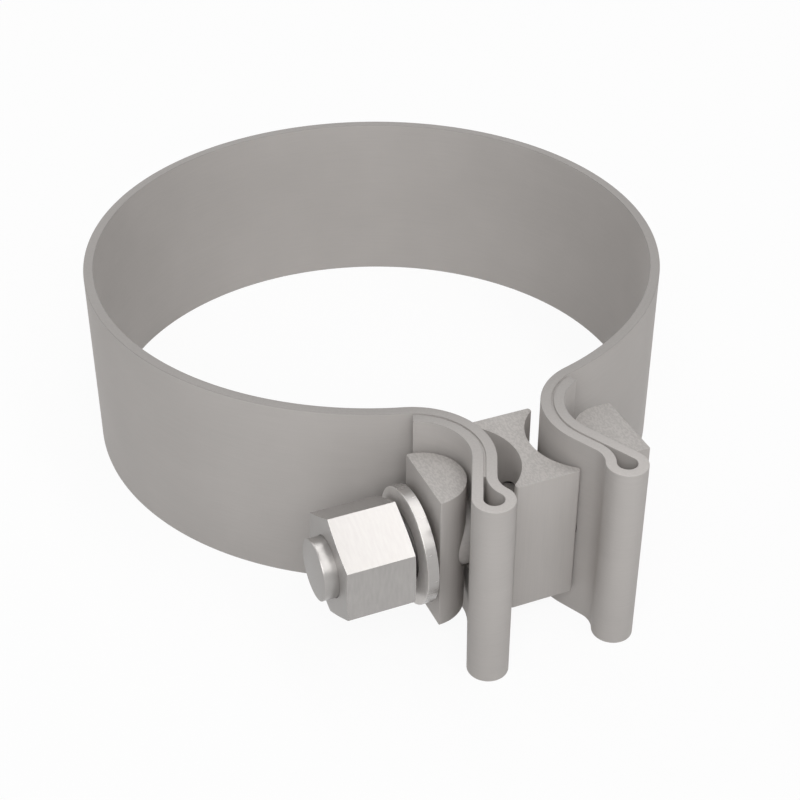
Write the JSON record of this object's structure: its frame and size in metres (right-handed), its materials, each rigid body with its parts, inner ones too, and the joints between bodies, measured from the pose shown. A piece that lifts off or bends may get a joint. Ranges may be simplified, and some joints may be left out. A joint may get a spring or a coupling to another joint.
{
  "type": "exhaust clamp",
  "caption": "Flat-band exhaust clamp: a folded steel band whose ears are drawn together by a stud, nut, washer, round-backed bars and a hollow-sided spacer block.",
  "frame": {"origin": "on the pipe's axis, at the middle of the band's width", "axes": "+Z along the pipe's axis; -Y towards the gap between the ears; +X along the stud, away from the nut"},
  "size_m": [0.0972, 0.1217, 0.0318],
  "materials": {
    "band_steel": "matt rolled steel",
    "bar_steel": "matt, with sawn ends",
    "fastener_steel": "bright and brushed"
  },
  "bodies": {
    "band": {"band": "band_steel"},
    "washer": {"washer": "fastener_steel"},
    "nut": {"hex_nut": "fastener_steel"},
    "stud": {"clamp_stud": "fastener_steel", "anchor_bar": "bar_steel"},
    "nut_bar": {"nut_bar": "bar_steel"},
    "block": {"spacer_block": "bar_steel"}
  },
  "joints": [
    {"name": "bolt_play", "type": "slide", "parent": "band", "child": "washer", "axis": [1, 0, 0], "range_m": [-0.0003, 0.0005]},
    {"name": "nut_spin", "type": "hinge", "parent": "washer", "child": "nut", "pos_m": [-0.0249, -0.0569, 0], "axis": [1, 0, 0], "range_deg": [-2160, 180]},
    {"name": "stud_travel", "type": "slide", "parent": "washer", "child": "stud", "axis": [-1, 0, 0], "range_m": [-0.0091, 0.00085]},
    {"name": "nut_bar_slide", "type": "slide", "parent": "band", "child": "nut_bar", "axis": [1, 0, 0], "range_m": [-0.0004, 0.0003]},
    {"name": "block_slide", "type": "slide", "parent": "band", "child": "block", "axis": [1, 0, 0], "range_m": [-0.0026, 0]}
  ],
  "couplings": [
    {"joint": "stud_travel", "follows": "nut_spin", "m_per_rad": 0.00023873}
  ]
}
